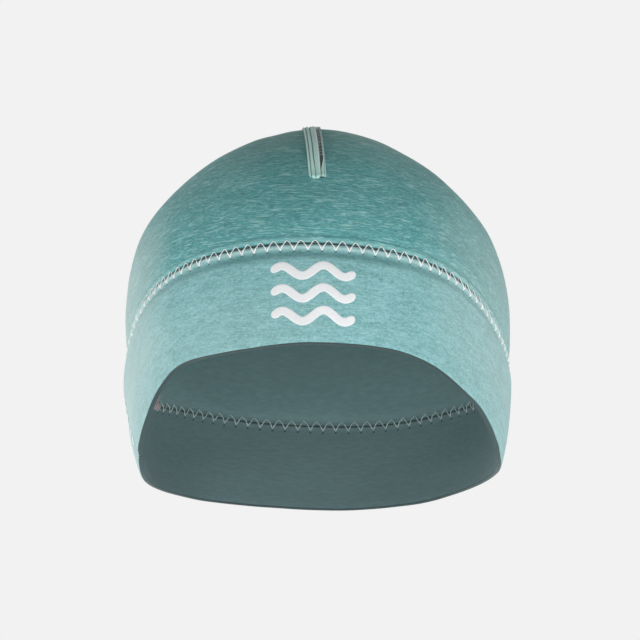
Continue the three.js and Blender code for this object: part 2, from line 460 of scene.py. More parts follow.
def quarter_round(steps, radius, towards_edge):
    """Steps round a quarter turn at a cloth's corner: how far each is from the edge and from the face."""
    turns = [math.radians(90 * i / steps) for i in range(steps + 1)]
    if not towards_edge:
        turns.reverse()
    return [(radius * (1 - math.sin(t)), radius * (1 - math.cos(t))) for t in turns]


# Crown

CROWN_DENSE_TO = 12.0
EDGE_STEPS = (1.5, 1.8, 2.1, 2.5, 2.9, 3.3, 3.8, 4.4, 5.1, 5.9, 6.8, 7.8, 9.0, 10.4, 12.0)
INNER_STEPS = (1.2, 2.0, 3.0, 4.5, 6.5, 9.0)
CROWN_UPPER_ROWS = 56
CROWN_INNER_ROWS = 30
COURSE_MEASURED_AT = math.radians(50)


def crown_rows(cloth):
    """Rows from the outer pole over the sewn edge to the inner pole: height over the seam, or share of
    the climb above the edge's dense rows, and depth in the cloth."""
    rows = [{"share": 1 - i / CROWN_UPPER_ROWS, "inset": 0.0} for i in range(1, CROWN_UPPER_ROWS)]
    rows += [{"height": h, "inset": 0.0} for h in reversed(EDGE_STEPS)]
    rows += [{"height": h, "inset": d} for h, d in quarter_round(5, EDGE_ROUND, True)]
    rows += [{"height": h, "inset": cloth - d} for h, d in reversed(quarter_round(3, INNER_ROUND, True))]
    rows += [{"height": h, "inset": cloth} for h in (*INNER_STEPS, CROWN_DENSE_TO)]
    rows += [{"share": i / CROWN_INNER_ROWS, "inset": cloth} for i in range(1, CROWN_INNER_ROWS)]
    return rows


def crown_up(cap, phi, row):
    """How far up the crown a row lies at an angle, from 0 at the seam to 1 at the top."""
    if "height" in row:
        return row["height"] / cap.crown_height
    power = around(PROFILE, phi)
    low = math.asin((CROWN_DENSE_TO / cap.crown_height) ** (power / 2))
    climb = low + (math.pi / 2 - low) * row["share"]
    return math.sin(climb) ** (2 / power)


def row_lengths(cap, rows):
    """Distance along the cloth from the sewn edge's middle to each row of the crown."""
    phi = COURSE_MEASURED_AT
    points = [Vector(cap.crown(phi, crown_up(cap, phi, row), row["inset"])) for row in rows]
    lengths = [0.0]
    for a, b in zip(points, points[1:]):
        lengths.append(lengths[-1] + (b - a).length)
    edge = min(range(len(rows)), key=lambda i: abs(rows[i]["inset"] - cap.cloth / 2))
    return [abs(distance - lengths[edge]) for distance in lengths]


def make_crown(cap):
    bm = bmesh.new()
    marks = mark_layers(bm, "course", "depth", "phase", "low")
    rows = crown_rows(cap.cloth)
    courses = row_lengths(cap, rows)
    columns = cap.stitches * COLUMNS_PER_STITCH
    angles = [cap.angle_at(FIRST_STITCH + cap.pitch * i / COLUMNS_PER_STITCH) for i in range(columns)]

    def placed_on(i):
        inset = rows[i]["inset"]

        def placed(column):
            phase = column % COLUMNS_PER_STITCH / COLUMNS_PER_STITCH
            phi = angles[column]
            point = cap.crown_skin(phi, phase, crown_up(cap, phi, rows[i]), inset)
            return cap.tipped(point), (courses[i], inset / cap.cloth, abs(phase - 0.5), 0.0)

        return placed

    bmesh.ops.create_circle(bm, cap_ends=True, cap_tris=True, segments=columns, radius=1.0)
    ring = [v for v in bm.verts if v.is_boundary]
    ring.sort(key=lambda v: math.atan2(v.co.y, v.co.x))
    for column, v in enumerate(ring):
        v[marks["number"]] = column
    pole = next(v for v in bm.verts if not v.is_boundary)
    pole.co = cap.tipped(cap.crown(0, 1, -crown_waves(cap.crown(0, 1, 0))))
    pole[marks["values"][0]] = courses[0]
    put(ring, marks, placed_on(0))
    edges = [e for e in bm.edges if e.is_boundary]
    for i in range(1, len(rows)):
        edges = extrude_row(bm, edges, marks, placed_on(i))
    made = bmesh.ops.extrude_edge_only(bm, edges=edges)["geom"]
    tip = [g for g in made if isinstance(g, bmesh.types.BMVert)]
    inner_lift = crown_waves(cap.crown(0, 1, cap.cloth))
    bmesh.ops.pointmerge(bm, verts=tip, merge_co=cap.tipped(cap.crown(0, 1, cap.cloth - inner_lift)))
    bmesh.ops.recalc_face_normals(bm, faces=bm.faces)
    return bm


# Band

BAND_LOWER_ROWS = 16
BAND_INNER_ROWS = 8
RIM_ROUND = 0.9


def band_rows(cloth):
    """The band's section: from its sewn edge down the outside, round the rim and up the inside."""
    rows = [{"depth": d, "inset": i} for d, i in quarter_round(5, EDGE_ROUND, False)]
    rows += [{"depth": d, "inset": 0.0} for d in EDGE_STEPS]
    rows += [{"share": i / BAND_LOWER_ROWS, "inset": 0.0} for i in range(1, BAND_LOWER_ROWS)]
    rows += [{"rim": -d, "inset": i} for d, i in reversed(quarter_round(4, RIM_ROUND, False))]
    rows += [{"rim": -d, "inset": cloth - i} for d, i in quarter_round(3, INNER_ROUND, False)]
    rows += [{"share": i / BAND_INNER_ROWS, "inset": cloth} for i in range(BAND_INNER_ROWS - 1, -1, -1)]
    rows += [{"depth": d, "inset": cloth} for d in reversed(INNER_STEPS)]
    rows += [{"depth": d, "inset": cloth - i} for d, i in reversed(quarter_round(3, INNER_ROUND, False))]
    return rows


def band_depth(cap, phi, row):
    if "depth" in row:
        return row["depth"]
    height = cap.band_height_at(phi)
    if "share" in row:
        start = EDGE_STEPS[-1]
        return start + (height - RIM_ROUND - start) * row["share"]
    return height + row["rim"]


def band_stations(cap):
    """The band's stations from one end to the other: angle, stitch phase and distance from the nearer end."""
    start = cap.distance_at(BAND_SEAM_AT)
    end = start + cap.seam_round
    step = cap.pitch / COLUMNS_PER_STITCH
    first = math.ceil((start - FIRST_STITCH) / step + 2.2)
    last = math.floor((end - FIRST_STITCH) / step - 1.2)
    near = [GAP / 2 + d for d in (0.0, 0.15, 0.4, 0.75)]
    places = [start + d for d in near]
    places += [FIRST_STITCH + step * i for i in range(first, last)]
    places += [end - d for d in reversed(near)]
    return [(cap.angle_at(d), cap.phase_at(d), min(d - start, end - d) - GAP / 2) for d in places]


def make_band(cap):
    bm = bmesh.new()
    marks = mark_layers(bm, "course", "depth", "phase", "low")
    rows = band_rows(cap.cloth)

    def placed_at(station):
        phi, phase, from_end = station

        def placed(i):
            inset = rows[i]["inset"]
            depth = band_depth(cap, phi, rows[i])
            point = cap.band_skin(phi, phase, depth, inset, from_end)
            from_hole = abs((phase + 0.5) % 1.0 - 0.5)
            return cap.tipped(point), (depth, inset / cap.cloth, from_hole, depth / cap.band_height_at(phi))

        return placed

    sweep(bm, marks, len(rows), band_stations(cap), placed_at)
    bmesh.ops.recalc_face_normals(bm, faces=bm.faces)
    return bm


# Tape over the crown's middle seam

TAPE = {
    "front_height": 33.0,
    "back_height": 48.0,
    "front_x": 3.8,
    "top_x": -4.0,
    "base": 0.45,
    "rib": 0.45,
    "under": 0.1,
}
# Points across the tape from the wearer's right: where each lies as a share of the width, along most
# of the tape and at its front end, and how high it stands as a share of a rib.
TAPE_SECTION = (
    (-0.5, -0.5, -1.6),
    (-0.495, -0.495, -0.6),
    (-0.475, -0.475, 0.1),
    (-0.45, -0.45, 0.6),
    (-0.42, -0.41, 0.75),
    (-0.39, -0.37, 0.5),
    (-0.37, -0.35, -0.3),
    (-0.34, -0.33, -0.4),
    (-0.32, -0.31, 0.5),
    (-0.27, -0.26, 0.95),
    (-0.22, -0.19, 1.0),
    (-0.18, -0.13, 0.6),
    (-0.16, -0.105, -0.4),
    (-0.12, -0.095, -0.45),
    (-0.1, -0.08, 0.5),
    (-0.06, -0.03, 0.85),
    (0.03, 0.05, 0.9),
    (0.13, 0.12, 1.05),
    (0.185, 0.17, 0.9),
    (0.2, 0.195, 0.0),
    (0.21, 0.205, -0.9),
    (0.3, 0.21, -0.95),
    (0.385, 0.215, -0.9),
    (0.395, 0.23, 0.1),
    (0.415, 0.28, 0.7),
    (0.435, 0.35, 0.6),
    (0.45, 0.39, -0.1),
    (0.465, 0.4, 0.0),
    (0.48, 0.44, 0.6),
    (0.495, 0.49, 0.2),
    (0.5, 0.5, -1.6),
)
TAPE_SLIT = 0.298
TAPE_SPLIT_AT_END = 0.21
TAPE_END_SHAPE = (6.0, 15.0)
TAPE_END_ROUND = 1.0
TAPE_END_SINK = 0.75
TAPE_TRIM_WITHIN = 5.0
TAPE_STATIONS = 150
# The round lobe of the tape's front end: its middle and half-width as shares of the width, and its depth.
TAPE_LOBE_MIDDLE = -0.145
TAPE_LOBE_HALF = 0.36
TAPE_LOBE_DEPTH = 2.4


class TapePath:
    """The way of the tape over the crown, from the front over the top to the back."""

    def __init__(self, cap):
        self.cap = cap
        self.start = cap.crown(0.0, TAPE["front_height"] / cap.crown_height, 0)[1]
        self.end = cap.crown(math.pi, TAPE["back_height"] / cap.crown_height, 0)[1]
        middle = (self.start + self.end) / 2
        half = (self.end - self.start) / 2
        turns = [math.pi * (i / (TAPE_STATIONS - 1) - 0.5) for i in range(TAPE_STATIONS)]
        self.ys = [middle + half * math.sin(turn) for turn in turns]
        points = [self.on_crown(self.centre(y), y) for y in self.ys]
        self.along = [0.0]
        for a, b in zip(points, points[1:]):
            self.along.append(self.along[-1] + (b - a).length)

    def centre(self, y):
        share = clamped((y - self.start) / (CROWN_LEAN - self.start))
        return TAPE["front_x"] + (TAPE["top_x"] - TAPE["front_x"]) * share**0.8

    def on_crown(self, x, y):
        """The crown's outside above a point of the plan."""
        cap = self.cap
        up = 1.0
        climb = math.pi / 2
        phi = 0.0
        for _ in range(40):
            back = y - CROWN_LEAN * up * up
            phi = math.atan2(x, -back)
            reach = cap.plan_radius(phi, 0) + swell(CROWN_PINCH, cap.crown_height * up)
            plain = math.hypot(x, back) - SHOULDER * math.sin(phi) ** 2 * math.sin(4 * climb)
            power = around(PROFILE, phi)
            climb = math.acos(clamped(plain / reach) ** (power / 2))
            up = (up + math.sin(climb) ** (2 / power)) / 2
        return Vector((x, y, cap.crown_level(phi, up, 0)))

    def normal(self, y):
        x = self.centre(y)
        here = self.on_crown(x, y)
        right = self.on_crown(x + 0.5, y) - here
        behind = self.on_crown(x, y + 0.5) - here
        return right.cross(behind).normalized()

    def point(self, y, across, lift):
        """A point at a share of the tape's width from its middle, lifted off the crown's cloth."""
        base = self.on_crown(self.centre(y) + across * self.cap.tape_width, y)
        return base + self.normal(y) * (lift + crown_waves(tuple(base)))


def tape_trim(across):
    """How much shorter the tape's front end is at a place across: a round lobe, and a squared one."""
    if across > TAPE_SPLIT_AT_END:
        return 1.0 + 0.6 * bell(across - TAPE_SPLIT_AT_END, 0.03)
    turn = clamped(abs(across - TAPE_LOBE_MIDDLE) / TAPE_LOBE_HALF)
    return TAPE_LOBE_DEPTH * (1 - math.sqrt(1 - 0.97 * turn**3))


def make_tape(cap):
    bm = bmesh.new()
    marks = mark_layers(bm, "across", "along", "rise")
    path = TapePath(cap)
    count = len(TAPE_SECTION)
    total = path.along[-1]
    shape_from, shape_to = TAPE_END_SHAPE

    def placed_at(k):
        from_front = path.along[k]
        from_end = min(from_front, total - from_front)
        end_drop = 1.0 - min(from_end / TAPE_END_ROUND, 1.0)

        def placed(i):
            under = i >= count
            on_body, at_end, rise = TAPE_SECTION[2 * count - 1 - i if under else i]
            body = clamped((from_front - shape_from) / (shape_to - shape_from))
            across = at_end + (on_body - at_end) * body
            lift = TAPE["under"]
            if not under:
                lift = (GAP + TAPE["base"] + TAPE["rib"] * rise) * (1 - TAPE_END_SINK * end_drop**2)
            y = path.ys[k] + tape_trim(across) * max(1 - from_front / TAPE_TRIM_WITHIN, 0.0)
            return cap.tipped(path.point(y, across, lift)), (across, from_front, rise)

        return placed

    sweep(bm, marks, 2 * count, range(TAPE_STATIONS), placed_at)
    bmesh.ops.recalc_face_normals(bm, faces=bm.faces)
    return bm


# Threads

# How far the zigzag reaches above and below the seam, outside and inside.
ZIGZAG_OUTSIDE = (1.2, 2.9)
ZIGZAG_INSIDE = (2.3, 1.7)
ZIGZAG_LEAN = 0.13
ZIGZAG_STRAY = 0.14
POINTS_PER_STITCH = 12
CLOSING_FROM = 2.6
CLOSING_TO = 36.0
CLOSING_HALF_WIDTH = 1.7
CLOSING_PITCH = 3.4
CLOSING_POINTS = 8
SLIT_STITCH_EVERY = 3.2
SLIT_STITCH_HALF = 0.1
SLIT_STITCH_SLANT = 0.7
SLIT_STITCH_RISE = 0.25
SLIT_STITCH_RADIUS = 0.07
SLIT_FROM = 17.0
KNOT_AT = math.radians(-123.5)
KNOT_POINTS = 80
KNOT_REACH = 4.0
KNOT_MIDDLE = 1.9
KNOT_HEIGHT = 3.2
KNOT_THINNER = 0.38


def thread(name, splines, material, cyclic=False):
    """Thread as one curve object. Each spline is a list of places in metres, with a radius in metres each."""
    curve = bpy.data.curves.new(name, "CURVE")
    curve.dimensions = "3D"
    curve.bevel_depth = 1.0
    curve.bevel_resolution = 2
    curve.use_fill_caps = True
    for points in splines:
        spline = curve.splines.new("POLY")
        spline.points.add(len(points) - 1)
        for p, (place, radius) in zip(spline.points, points):
            p.co = (*place, 1.0)
            p.radius = radius
        spline.use_cyclic_u = cyclic
        spline.use_smooth = True
    obj = bpy.data.objects.new(name, curve)
    bpy.context.scene.collection.objects.link(obj)
    curve.materials.append(material)
    return obj


def on_seam(cap, distance, above, lift, inside=False):
    """A place on the cloth near the seam, at a distance along it and a height above or below it."""
    phi = cap.angle_at(distance)
    phase = cap.phase_at(distance)
    inset = cap.cloth if inside else 0.0
    lift = -lift if inside else lift
    if above >= 0:
        return cap.tipped(cap.crown_skin(phi, phase, above / cap.crown_height, inset, lift))
    return cap.tipped(cap.band_skin(phi, phase, -above, inset, lift=lift))


def zigzag(cap, inside):
    """The zigzag all round: pointed at the bottom where the needle goes in, arched at the top."""
    up, down = ZIGZAG_INSIDE if inside else ZIGZAG_OUTSIDE
    points = []
    for i in range(cap.stitches * POINTS_PER_STITCH):
        t = i % POINTS_PER_STITCH / POINTS_PER_STITCH
        start = FIRST_STITCH + cap.pitch * (i // POINTS_PER_STITCH)
        lean = 0.0 if inside else ZIGZAG_LEAN * max(-math.sin(cap.angle_at(start)), 0.0)
        distance = start + cap.pitch * (t - lean * math.sin(math.pi * t) ** 2)
        bottom = abs(2 * t - 1)
        rounded = 1.1 if inside else 1.5
        height = up - (up + down) * bottom**rounded
        height += ZIGZAG_STRAY * noise.noise(Vector((start / 3.3, t * 2, 3.0 if inside else 0.0)))
        lift = 0.14 + 0.1 * math.sin(math.pi * bottom) - 0.32 * bottom**10 - 0.2 * (1 - bottom) ** 8
        radius = cap.thread / 2 * (1.1 if inside else 1.0 + 1.1 * bottom**3)
        points.append((on_seam(cap, distance, height, lift, inside), radius * MM))
    return points


def closing_zigzag(cap, inside):
    """The short zigzag that joins the band's two ends, down the band."""
    points = []
    steps = round((CLOSING_TO - CLOSING_FROM) / CLOSING_PITCH * CLOSING_POINTS)
    middle = cap.distance_at(BAND_SEAM_AT)
    for i in range(steps + 1):
        t = i / CLOSING_POINTS % 1.0
        swing = abs(2 * t - 1) * 2 - 1
        depth = CLOSING_FROM + (CLOSING_TO - CLOSING_FROM) * i / steps
        lift = 0.2 - 0.35 * abs(swing) ** 8
        place = on_seam(cap, middle + swing * CLOSING_HALF_WIDTH, -depth, lift, inside)
        points.append((place, cap.thread * 0.5 * MM))
    return points


def knot(cap):
    """The seam's thread end inside, sewn back over itself into a small tangle."""
    points = []
    middle = cap.distance_at(KNOT_AT)
    for i in range(KNOT_POINTS):
        across = KNOT_REACH * math.sin(i * 1.13) * (0.6 + 0.4 * math.sin(i * 0.41))
        above = KNOT_MIDDLE + KNOT_HEIGHT * math.cos(i * 0.77)
        lift = 0.35 + 0.3 * math.sin(i * 0.53)
        place = on_seam(cap, middle + across, above, lift, True)
        points.append((place, cap.thread * KNOT_THINNER * MM))
    return points


def slit_stitches(cap):
    """Short stitches across the open slit of the tape."""
    path = TapePath(cap)
    splines = []
    next_at = SLIT_FROM
    for y, along in zip(path.ys, path.along):
        if along < next_at or along > path.along[-1] - SLIT_FROM:
            continue
        next_at += SLIT_STITCH_EVERY
        points = []
        for i in range(5):
            t = i / 4
            across = TAPE_SLIT - SLIT_STITCH_HALF + 2 * SLIT_STITCH_HALF * t
            lift = TAPE["base"] + GAP + SLIT_STITCH_RISE * math.sin(math.pi * t)
            place = path.point(y + SLIT_STITCH_SLANT * t, across, lift)
            points.append((cap.tipped(place), SLIT_STITCH_RADIUS * MM))
        splines.append(points)
    return splines


# Print on the band's front

WAVES = 3
WAVE = {
    "half_length": 17.0, "height": 2.3, "every": 17.0, "stroke": 3.6,
    "first_depth": 12.5, "spacing": 9.5, "x": 2.2,
}
PRINT_THICK = 0.1
PRINT_STATIONS = 120
# Points round a printed line: a share of half its stroke, and of its thickness.
PRINT_SECTION = (
    (-1.0, 0.2), (-0.93, 1.0), (-0.6, 1.0), (-0.2, 1.0), (0.2, 1.0), (0.6, 1.0), (0.93, 1.0), (1.0, 0.2),
    (0.93, -1.0), (0.5, -1.0), (0.0, -1.0), (-0.5, -1.0), (-0.93, -1.0),
)


def make_print(cap):
    """Three plain wave lines of a thin raised print."""
    bm = bmesh.new()
    marks = mark_layers(bm)
    reach = WAVE["half_length"]
    for wave in range(WAVES):
        middle_depth = WAVE["first_depth"] + WAVE["spacing"] * wave

        def placed_at(share):
            s = reach * math.sin(share * math.pi / 2)
            turn = 2 * math.pi * s / WAVE["every"]
            slope = WAVE["height"] * 2 * math.pi / WAVE["every"] * math.cos(turn)
            steep = math.hypot(1.0, slope)
            half = WAVE["stroke"] / 2
            end = clamped((reach - abs(s)) / half)
            half *= math.sqrt(max(1 - (1 - end) ** 2, 0.003))

            def placed(i):
                across, thick = PRINT_SECTION[i]
                distance = WAVE["x"] + s + across * half * slope / steep
                depth = middle_depth - WAVE["height"] * math.sin(turn) + across * half / steep
                lift = PRINT_THICK * thick
                point = cap.band_skin(cap.angle_at(distance), 0.25, depth, 0.0, lift=lift)
                return cap.tipped(point), ()

            return placed

        shares = [2 * i / (PRINT_STATIONS - 1) - 1 for i in range(PRINT_STATIONS)]
        sweep(bm, marks, len(PRINT_SECTION), shares, placed_at)
    bmesh.ops.recalc_face_normals(bm, faces=bm.faces)
    return bm


# Materials

class Value:
    """A socket's value in a material, for maths written as Python expressions."""

    def __init__(self, graph, socket):
        self.graph = graph
        self.socket = socket

    def maths(self, operation, *others, clamp=False):
        settings = {"operation": operation, "use_clamp": clamp}
        return self.graph.node("ShaderNodeMath", settings, dict(enumerate((self, *others))))

    def __add__(self, other):
        return self.maths("ADD", other)

    __radd__ = __add__

    def __sub__(self, other):
        return self.maths("SUBTRACT", other)

    def __rsub__(self, other):
        return self * -1.0 + other

    def __mul__(self, other):
        return self.maths("MULTIPLY", other)

    __rmul__ = __mul__

    def __abs__(self):
        return self.maths("ABSOLUTE")

    def between(self, low, high):
        """0 at low, 1 at high, and a straight ramp in between, held to that range."""
        return ((self - low) * (1.0 / (high - low))).maths("ADD", 0.0, clamp=True)


class Graph:
    """A material's nodes."""

    def __init__(self, name):
        self.material = bpy.data.materials.new(name)
        self.material.use_nodes = True
        self.tree = self.material.node_tree
        self.tree.nodes.clear()

    def node(self, kind, settings, sockets, output=0):
        """One node: its settings first, then the values or links of its sockets."""
        node = self.tree.nodes.new(kind)
        for key, value in settings.items():
            setattr(node, key, value)
        for key, value in sockets.items():
            if isinstance(value, Value):
                self.tree.links.new(value.socket, node.inputs[key])
            else:
                node.inputs[key].default_value = value
        return None if output is None else Value(self, node.outputs[output])

    def mark(self, name):
        return self.node("ShaderNodeAttribute", {"attribute_name": name}, {}, output="Fac")

    def millimetres(self):
        """X, Y and Z on the object, in millimetres."""
        place = self.node("ShaderNodeTexCoord", {}, {}, output="Object")
        grown = self.node("ShaderNodeVectorMath", {"operation": "SCALE"}, {0: place, "Scale": 1 / MM})
        return [self.node("ShaderNodeSeparateXYZ", {}, {0: grown}, output=axis) for axis in "XYZ"]

    def noise(self, x, y, z, detail=2.0):
        """Noise with features about one unit across."""
        vector = self.node("ShaderNodeCombineXYZ", {}, {"X": x, "Y": y, "Z": z})
        return self.node("ShaderNodeTexNoise", {}, {"Vector": vector, "Scale": 1.0, "Detail": detail})

    def mix(self, factor, first, second):
        return self.node("ShaderNodeMix", {"data_type": "RGBA"}, {0: factor, 6: first, 7: second}, output=2)

    def surface(self, sockets, bump, bump_distance):
        height = {"Strength": 1.0, "Distance": bump_distance * MM, "Height": bump}
        sockets = {**sockets, "Normal": self.node("ShaderNodeBump", {}, height)}
        shader = self.node("ShaderNodeBsdfPrincipled", {}, sockets)
        self.node("ShaderNodeOutputMaterial", {}, {"Surface": shader}, output=None)
        return self.material


# Each pair is how far a mark of the yarns runs along the rows and across them. The other numbers are
# shares, apart from the slant of the rows, the distance of the needle's holes from the seam, and the
# lining's factor, which paints light on the inside's colour: lighter in the crown, darker in the band.
CROWN_KNIT = {
    "patch": (20.0, 5.0), "tone": (12.0, 1.6), "dash": (2.3, 0.42), "long": (6.5, 0.62), "shade": (4.2, 0.6),
    "tones": 0.32, "light": 0.34, "lines": 0.42, "dark": 0.55, "upright": 0.0, "specks": 0.25,
    "slant_back": -0.11, "slant_across": 0.04, "holes_at": 1.4, "lining": 1.27,
}
BAND_KNIT = {
    "patch": (16.0, 7.0), "tone": (9.0, 1.8), "dash": (1.7, 0.5), "long": (5.0, 0.8), "shade": (2.2, 0.6),
    "tones": 0.45, "light": 0.36, "lines": 0.24, "dark": 0.34, "upright": 0.14, "specks": 0.4,
    "slant_back": 0.0, "slant_across": 0.0, "holes_at": 3.3, "lining": 0.78,
}
# Ranges up the cloth from the seam: where the knit's rows give way to straight ones, where painted shade
# darkens the crown towards its top, and where a painted lighter copy of that shaded yarn brightens it.
TOP_FROM = 122.0
TOP_TO = 138.0
SHADED_FROM = 45.0
SHADED_TO = 125.0
BRIGHTER_FROM = 78.0
BRIGHTER_TO = 100.0
SEAM_EDGE_WITHIN = 2.0
# Ranges out from the middle: the sides of the opening, and the painted sheen over the right and the left ear.
SIDES = (45.0, 75.0)
RIGHT_EAR = (56.0, 82.0)
LEFT_EAR = (44.0, 82.0)
EARS_FADE = (25.0, 70.0)
# Where the seam's bead takes its painted highlight and the band's furrow its painted shade, up from the seam.
BEAD_HIGHLIGHT_AT = 1.9
FURROW_SHADE_AT = 4.9


def jersey(name, knit, ground, colours):
    """Heathered jersey outside, the core at cut edges and the smooth face inside, with painted light and
    shade.
    """
    g = Graph(name)
    x, y, z = g.millimetres()
    tilt = math.radians(WORN_TILT)
    level_y = y * math.cos(tilt) - z * math.sin(tilt)
    course = g.mark("course")
    slanted = course + level_y * knit["slant_back"] + x * knit["slant_across"]
    depth = g.mark("depth")
    top = course.between(TOP_FROM, TOP_TO)

    def streaks(along, across, seed, detail=2.0):
        """Noise drawn out along the rows of the knit, and straight across the top of the dome."""
        ring = g.noise(x * (1 / along), level_y * (1 / along), slanted * (1 / across) + seed, detail)
        over = g.noise(x * (1 / along), level_y * (1 / across) + seed, seed, detail)
        return ring + (over - ring) * top

    patches = streaks(*knit["patch"], 31.0)
    tones = streaks(*knit["tone"], 21.0)
    short = streaks(*knit["dash"], 3.0)
    long = streaks(*knit["long"], 7.0, 1.0)
    shaded = streaks(*knit["shade"], 11.0)
    specks = g.noise(x * 1.7, y * 1.7, z * 1.7, 1.0)
    light = (short + (patches - 0.5) * 0.12).between(0.53, 0.65)
    lines = (long + (patches - 0.5) * 0.12).between(0.58, 0.65)
    dark = (shaded + (0.5 - patches) * 0.25).between(0.54, 0.64)

    outer = g.mix(tones.between(0.36, 0.62) * knit["tones"], ground, colours.grey_yarn)
    # Painted shade darkening the crown towards its top, eased part way up by a painted lighter copy of that
    # yarn.
    outer = g.mix(course.between(SHADED_FROM, SHADED_TO) * 0.6, outer, colours.shaded_top_yarn)
    outer = g.mix(course.between(BRIGHTER_FROM, BRIGHTER_TO) * 0.5, outer, toned(colours.shaded_top_yarn, 1.5))
    outer = g.mix(dark * knit["dark"], outer, colours.dark_yarn)
    outer = g.mix(light * knit["light"], outer, colours.light_yarn)
    outer = g.mix(lines * knit["lines"], outer, colours.light_yarn)
    if knit["upright"]:
        columns = g.noise(x * 2.3, level_y * 2.3, course * 0.8, 1.0)
        outer = g.mix(columns.between(0.54, 0.68) * knit["upright"], outer, colours.dark_yarn)
        outer = g.mix(columns.between(0.46, 0.34) * knit["upright"], outer, colours.light_yarn)
    outer = g.mix(specks.between(0.6, 0.7) * knit["specks"], outer, colours.light_yarn)
    # Painted sheen over the ears and low on the band's sides.
    outer = painted_side_sheen(g, outer, x, course, colours)
    # Painted highlight and painted shade along the seam.
    outer = painted_seam_light(g, outer, x, course, knit, colours)

    smooth = g.noise(x * 0.25, y * 0.25, course * 0.9)
    # Lit and shaded copies of the inside's colour: painted light, lighter in the crown and darker in the
    # band.
    lit = knit["lining"]
    lining = g.mix(smooth.between(0.35, 0.7), toned(colours.inside, lit * 0.88), toned(colours.inside, lit))
    # Painted shade on the lining: darker towards the rim, and more so low on the wearer's right side.
    shade_on_right = (x * -1.0).between(*SIDES) * g.mark("low").between(0.1, 0.6)
    lining = g.mix(g.mark("low").between(0.7, 1.0) * 0.12 + shade_on_right * 0.3, lining, colours.foam_and_shade)
    cloth = g.mix(depth.between(0.12, 0.2), outer, lining)
    # Cut edges show the core's dark colour, deepened as painted shade at the rim and in the seam's groove.
    near_seam = 1.0 - course.between(SEAM_EDGE_WITHIN * 0.6, SEAM_EDGE_WITHIN)
    cut_edge = depth.between(0.08, 0.16) * (1.0 - depth.between(0.96, 1.0))
    # A lighter copy of the core's colour at the sides, as painted light.
    foam_and_shade = g.mix(abs(x).between(*SIDES), toned(colours.foam_and_shade, 0.8), toned(colours.foam_and_shade, 1.6))
    foam_and_shade = g.mix(near_seam, foam_and_shade, colours.foam_and_shade)
    cloth = g.mix(cut_edge * (0.85 - near_seam * 0.25), cloth, foam_and_shade)
    cloth = needle_holes(g, cloth, course + depth * 0.7, knit, colours)
    sockets = {
        "Base Color": cloth,
        "Roughness": 0.85,
        "Sheen Weight": 0.15,
        "Sheen Roughness": 0.4,
        "Sheen Tint": (0.9, 1.0, 1.0, 1.0),
        "Specular IOR Level": 0.2,
    }
    return g.surface(sockets, short * 0.6 + specks * 0.4, 0.12)


def painted_side_sheen(g, outer, x, course, colours):
    """Painted sheen: the cloth over the ears and low on the band's sides is painted paler, as grazing light
    shows it.
    """
    sheen_over_ears = (x * -1.0).between(*RIGHT_EAR) * 0.6 + x.between(*LEFT_EAR) * 0.32
    sheen_near_rim = g.mark("low").between(0.35, 1.0) * (1.0 - x.between(-30.0, 20.0)) * 0.16
    return g.mix((sheen_over_ears + sheen_near_rim) * (1.0 - course.between(*EARS_FADE)), outer, colours.painted_highlight)


def painted_seam_light(g, outer, x, course, knit, colours):
    """A painted highlight on the bead by the seam and, on the band, painted shade in the furrow below it."""
    bead = 1.0 - abs(course - BEAD_HIGHLIGHT_AT).between(0.4, 1.5)
    if knit is CROWN_KNIT:
        return g.mix(bead * 0.2, outer, colours.light_yarn)
    furrow = (1.0 - abs(course - FURROW_SHADE_AT).between(0.6, 3.0)) * (1.0 - abs(x).between(30.0, 72.0))
    outer = g.mix(bead * 0.3, outer, colours.painted_highlight)
    return g.mix(furrow * 0.5, outer, colours.dark_yarn)


def needle_holes(g, cloth, course, knit, colours):
    """Small dark holes where the needle went through: the core's colour, deepened as painted shade."""
    along = 1.0 - g.mark("phase").between(0.05, 0.1)
    across = 1.0 - abs(course - knit["holes_at"]).between(0.25, 0.5)
    return g.mix(along * across * 0.8, cloth, colours.foam_and_shade)


def toned(colour, share):
    return tuple(c * share for c in colour[:3]) + (1.0,)


def thread_material(name, colour):
    g = Graph(name)
    x, y, z = g.millimetres()
    fibre = g.noise(x * 2.6, y * 2.6, z * 2.6, 1.0)
    tint = g.mix(fibre.between(0.3, 0.55), toned(colour, 0.9), colour)
    return g.surface({"Base Color": tint, "Roughness": 0.5, "Sheen Weight": 0.4}, fibre, 0.08)


def tape_material(colours):
    """Ribbed knit tape: pale ribs; painted shade between them, on the edges, at the front end and on the
    slit's cloth.
    """
    g = Graph("ribbed_tape")
    along = g.mark("along")
    across = g.mark("across")
    rise = g.mark("rise")
    loops = g.noise(across * 30.0, along * 1.1, 0.0)
    rows = g.noise(across * 9.0, along * 2.2, 5.0, 1.0)
    knit = g.mix(loops.between(0.36, 0.62), toned(colours.tape, 0.78), colours.tape)
    # Painted highlight: a bright line along the edge of a rib.
    painted_rib_highlight = 1.0 - abs(across - 0.15).between(0.01, 0.05)
    knit = g.mix(painted_rib_highlight * 0.4, knit, colours.white_thread)
    # Painted shade on the tape's front end, which faces the low front light.
    knit = g.mix(along.between(8.0, 2.0) * 0.3, knit, colours.mid_yarn)
    # Painted shade between the ribs and along the tape's edges.
    valley_shade = 1.0 - rise.between(-0.35, 0.45)
    knit = g.mix(valley_shade * 0.85, knit, toned(colours.dark_yarn, 0.7))
    # Painted shade over the cloth at the bottom of the slit.
    slit = 1.0 - rise.between(-0.8, -0.45)
    holes = rows.between(0.45, 0.55)
    bottom = g.mix(holes, toned(colours.dark_yarn, 0.15), toned(colours.dark_yarn, 0.5))
    knit = g.mix(slit, knit, bottom)
    return g.surface({"Base Color": knit, "Roughness": 0.8, "Sheen Weight": 0.3}, loops, 0.18)


